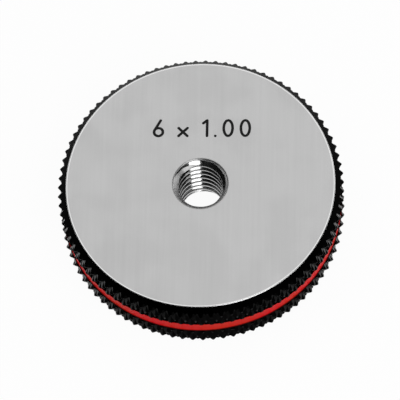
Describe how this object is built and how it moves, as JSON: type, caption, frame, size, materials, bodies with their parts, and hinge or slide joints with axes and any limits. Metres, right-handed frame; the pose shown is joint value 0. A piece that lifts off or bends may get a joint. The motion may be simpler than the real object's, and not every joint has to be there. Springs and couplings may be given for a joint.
{
  "type": "thread ring gauge",
  "caption": "NO-GO thread ring gauge: a flat hardened steel ring with a diamond-knurled rim, a red marking groove and a metric threaded bore.",
  "frame": {"origin": "centre of the bottom ground face, on the thread's axis", "axes": "+Z along the thread's axis, up through the marked face; +X along the size marking, read left to right"},
  "size_m": [0.032, 0.032, 0.008],
  "materials": {
    "gauge_steel": "ground",
    "red_lacquer": "gloss"
  },
  "bodies": {
    "root": {"gauge_ring": "gauge_steel", "red_marking_ring": "red_lacquer"}
  },
  "joints": []
}
